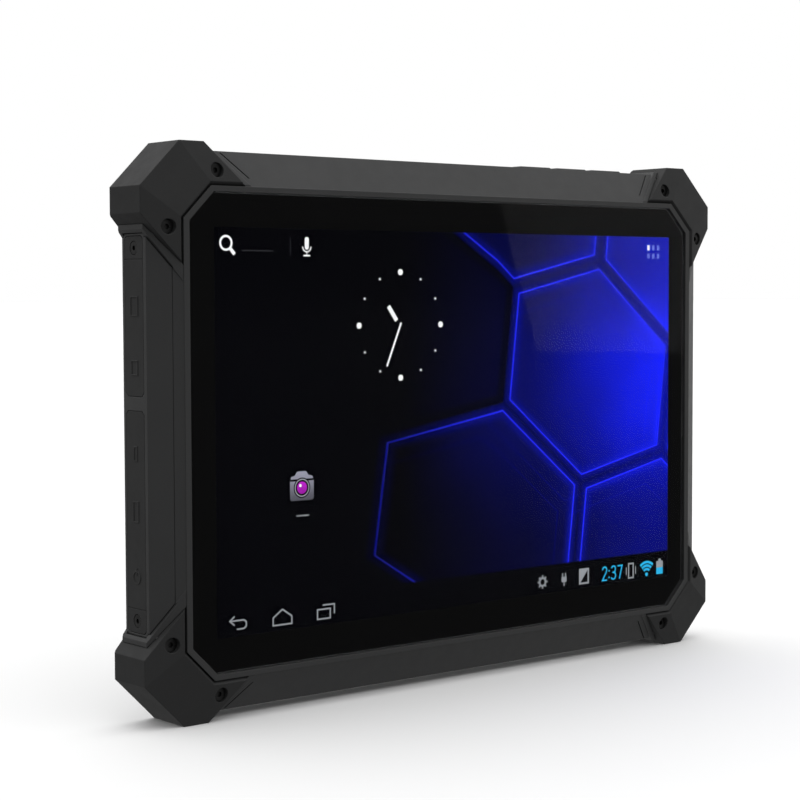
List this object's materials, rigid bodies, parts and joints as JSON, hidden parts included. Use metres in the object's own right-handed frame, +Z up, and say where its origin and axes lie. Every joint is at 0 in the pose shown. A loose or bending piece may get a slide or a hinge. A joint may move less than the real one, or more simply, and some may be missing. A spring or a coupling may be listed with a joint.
{
  "type": "rugged data collector tablet",
  "caption": "Rugged handheld data collector: landscape tablet with cut corners, corner bumpers, sloped border, covered side ports, edge keys and rear battery door.",
  "frame": {"origin": "bottom centre of the tablet standing in landscape on its two lower corner bumpers", "axes": "+X to the right of someone reading the screen, the screen faces -Y, +Y to the back, +Z up"},
  "size_m": [0.2688, 0.0224, 0.1909],
  "materials": {
    "shell_plastic": "fine moulded texture",
    "bumper_rubber": "matte",
    "cover_rubber": "matte",
    "screw_steel": "black oxide",
    "cover_glass": "polished",
    "black_print": "printed black",
    "screen": "display panel",
    "backlight_metal": "plain",
    "chassis_metal": "die cast",
    "circuit_board": "solder resist",
    "connector_steel": "plated",
    "black_plastic": "moulded",
    "antenna_ceramic": "ceramic",
    "battery_wrap": "wrapped",
    "insert_brass": "knurled",
    "camera_trim": "gloss",
    "lens_glass": "polished",
    "flash_lamp": "phosphor",
    "key_plastic": "moulded"
  },
  "bodies": {
    "tablet": {"housing": "shell_plastic", "side_panel": "shell_plastic", "upper_cover_tab": "cover_rubber", "lower_cover_tab": "cover_rubber", "cover_screws": "screw_steel", "bumper_top_left": "bumper_rubber", "bumper_top_right": "bumper_rubber", "bumper_bottom_left": "bumper_rubber", "bumper_bottom_right": "bumper_rubber", "bumper_screws": "screw_steel", "cover_glass": "cover_glass", "screen_mask": "black_print", "glass_tape": "black_print", "display_panel": "screen", "backlight_unit": "backlight_metal", "chassis_plate": "chassis_metal", "chassis_screws": "screw_steel", "main_board": "circuit_board", "board_screws": "screw_steel", "shield_cans": "backlight_metal", "sim_socket": "connector_steel", "card_socket": "connector_steel", "usb_c_socket": "connector_steel", "usb_a_socket": "connector_steel", "power_socket": "black_plastic", "gnss_antenna": "antenna_ceramic", "vibration_motor": "connector_steel", "wireless_antenna": "black_plastic", "cellular_antenna": "black_plastic", "key_board": "circuit_board", "key_switches": "black_plastic", "rear_cover": "shell_plastic", "rear_seal": "cover_rubber", "rear_screws": "screw_steel", "battery_pack": "battery_wrap", "battery_contacts": "black_plastic", "battery_door": "shell_plastic", "door_seal": "cover_rubber", "door_screws": "screw_steel", "strap_inserts": "insert_brass", "camera_module": "black_plastic", "camera_ring": "camera_trim", "camera_window": "lens_glass", "flash_lens": "lens_glass", "flash_lamp": "flash_lamp", "speakers": "black_plastic"},
    "upper_flap": {"upper_cover_flap": "cover_rubber"},
    "lower_flap": {"lower_cover_flap": "cover_rubber"},
    "power_button": {"power_key": "key_plastic"},
    "volume_up_button": {"volume_up_key": "key_plastic"},
    "volume_down_button": {"volume_down_key": "key_plastic"}
  },
  "joints": [
    {"name": "upper_cover_hinge", "type": "hinge", "parent": "tablet", "child": "upper_flap", "pos_m": [-0.1301, 0.00325, 0.15265], "axis": [0, 1, 0], "range_deg": [0, 120], "stiffness_Nm_per_rad": 0.001},
    {"name": "lower_cover_hinge", "type": "hinge", "parent": "tablet", "child": "lower_flap", "pos_m": [-0.1301, 0.00325, 0.03875], "axis": [0, -1, 0], "range_deg": [0, 120], "stiffness_Nm_per_rad": 0.002},
    {"name": "power_key_press", "type": "slide", "parent": "tablet", "child": "power_button", "axis": [0, 0, -1], "range_m": [0, 0.0006], "stiffness_N_per_m": 2000, "springref_m": -0.0002},
    {"name": "volume_up_press", "type": "slide", "parent": "tablet", "child": "volume_up_button", "axis": [0, 0, -1], "range_m": [0, 0.0006], "stiffness_N_per_m": 2000, "springref_m": -0.0002},
    {"name": "volume_down_press", "type": "slide", "parent": "tablet", "child": "volume_down_button", "axis": [0, 0, -1], "range_m": [0, 0.0006], "stiffness_N_per_m": 2000, "springref_m": -0.0002}
  ]
}
